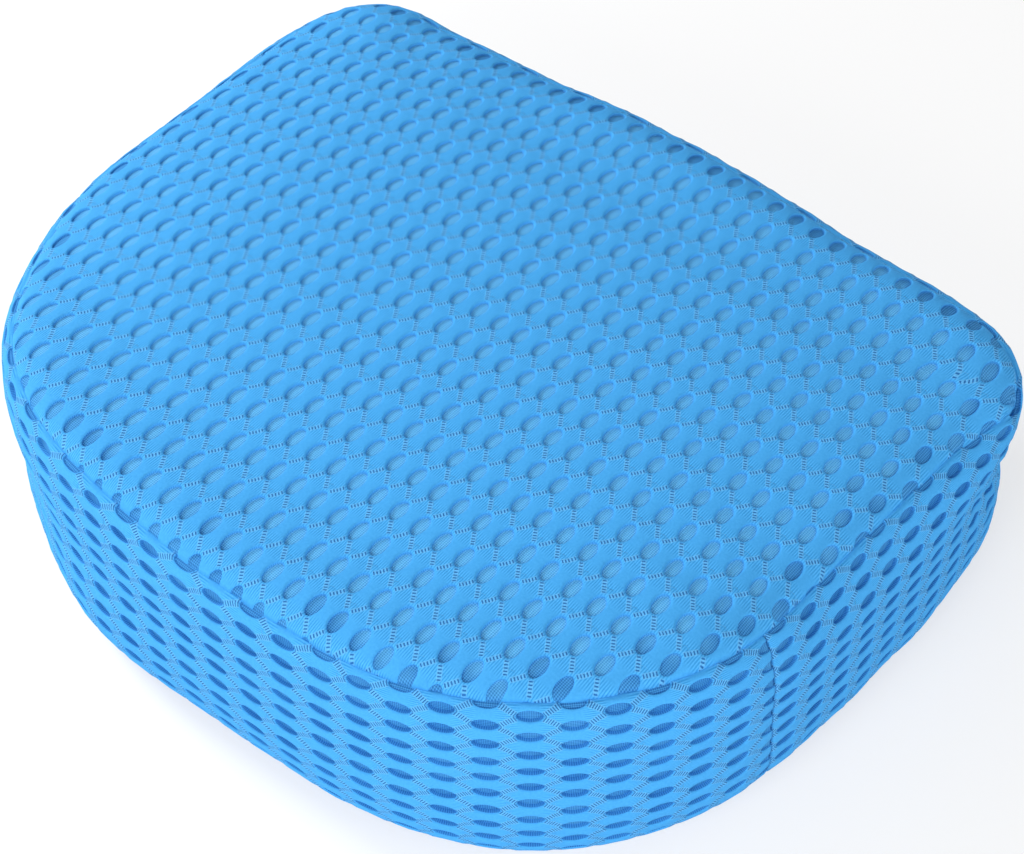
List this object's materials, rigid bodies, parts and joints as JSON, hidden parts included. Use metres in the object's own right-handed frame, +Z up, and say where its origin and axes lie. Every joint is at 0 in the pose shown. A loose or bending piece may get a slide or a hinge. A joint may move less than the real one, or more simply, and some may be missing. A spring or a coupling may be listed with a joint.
{
  "type": "bath pillow",
  "caption": "Thick D-shaped bath pillow: a crowned foam block in a sewn air mesh cover with a straight back, a bowed front and a zip along the back.",
  "frame": {"origin": "on the underside, below the middle of the top seam's outline", "axes": "+X along the straight back edge, +Y from the bowed front towards the back, +Z up through the crowned top"},
  "size_m": [0.373, 0.2944, 0.103],
  "materials": {
    "air_mesh": "matte",
    "foam": "matte",
    "thread": "satin",
    "zip_tape": "matte",
    "zip_nylon": "satin",
    "zip_metal": "satin"
  },
  "bodies": {
    "cushion": {"top_panel": "air_mesh", "bottom_panel": "air_mesh", "front_band": "air_mesh", "rear_band": "air_mesh", "foam_core": "foam", "top_seam_thread": "thread", "bottom_seam_thread": "thread", "corner_seam_thread_right": "thread", "corner_seam_thread_left": "thread", "zip_stitch_upper": "thread", "zip_stitch_lower": "thread", "zip_bartack_right": "thread", "zip_bartack_left": "thread", "zip_tape_upper": "zip_tape", "zip_tape_lower": "zip_tape", "zip_coil_upper": "zip_nylon", "zip_coil_lower": "zip_nylon", "zip_stop_right": "zip_nylon", "zip_stop_left": "zip_nylon"},
    "slider": {"zip_slider": "zip_metal"},
    "pull_tab": {"zip_pull_tab": "zip_metal"}
  },
  "joints": [
    {"name": "zip_slide", "type": "slide", "parent": "cushion", "child": "slider", "axis": [-1, 0, 0], "range_m": [0, 0.2053]},
    {"name": "pull_tab_swing", "type": "hinge", "parent": "slider", "child": "pull_tab", "pos_m": [0.10265, 0.14579, 0.063], "axis": [0, 0, -1], "range_deg": [0, 180]}
  ]
}
